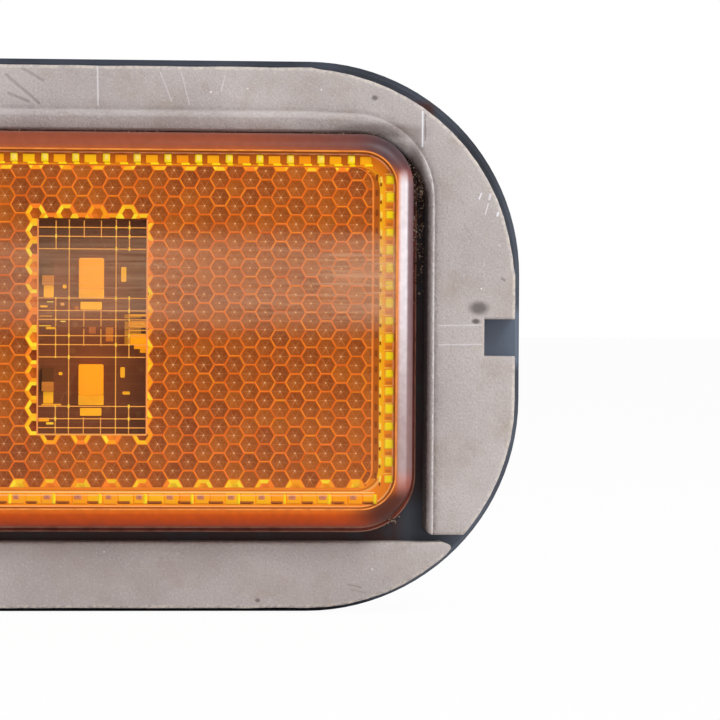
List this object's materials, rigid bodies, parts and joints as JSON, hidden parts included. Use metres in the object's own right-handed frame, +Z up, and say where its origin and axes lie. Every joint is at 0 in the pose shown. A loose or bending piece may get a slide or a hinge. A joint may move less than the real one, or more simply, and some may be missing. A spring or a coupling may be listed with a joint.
{
  "type": "side marker lamp",
  "caption": "Rectangular amber side marker lamp with reflex reflector pins, an LED window, a black flange and a grey foam gasket, held by studs at the back.",
  "frame": {"origin": "midway between the two stud seats, on the plane of the bracket that carries the lamp", "axes": "+X along the lamp to the right as seen from the front, +Z up, the lens faces -Y and the studs point along +Y"},
  "size_m": [0.1168, 0.0462, 0.0748],
  "materials": {
    "housing_plastic": "satin black moulding",
    "amber_acrylic": "clear amber acrylic",
    "foam": "matt grey closed-cell foam",
    "dark_plastic": "dark brown moulding",
    "board_laminate": "green solder mask",
    "zinc_steel": "zinc-plated steel",
    "led_package": "pale package with amber resin",
    "chip_black": "black epoxy",
    "chip_yellow": "yellow epoxy",
    "tinned_brass": "tinned brass",
    "potting": "black potting compound",
    "membrane": "white vent membrane"
  },
  "bodies": {
    "root": {"housing": "housing_plastic", "lens": "amber_acrylic", "gasket_main": "foam", "gasket_bottom_strip": "foam", "backing_frame": "dark_plastic", "circuit_board": "board_laminate", "board_screws": "zinc_steel", "led_upper": "led_package", "led_lower": "led_package", "resistor_upper": "chip_black", "resistor_lower": "chip_black", "tantalum_capacitor": "chip_yellow", "blocking_diode": "chip_black", "surge_suppressor": "chip_black", "terminal_supply": "tinned_brass", "terminal_ground": "tinned_brass", "terminal_potting": "potting", "vent_membrane": "membrane", "vent_cap": "housing_plastic", "stud_left": "zinc_steel", "stud_right": "zinc_steel"}
  },
  "joints": []
}
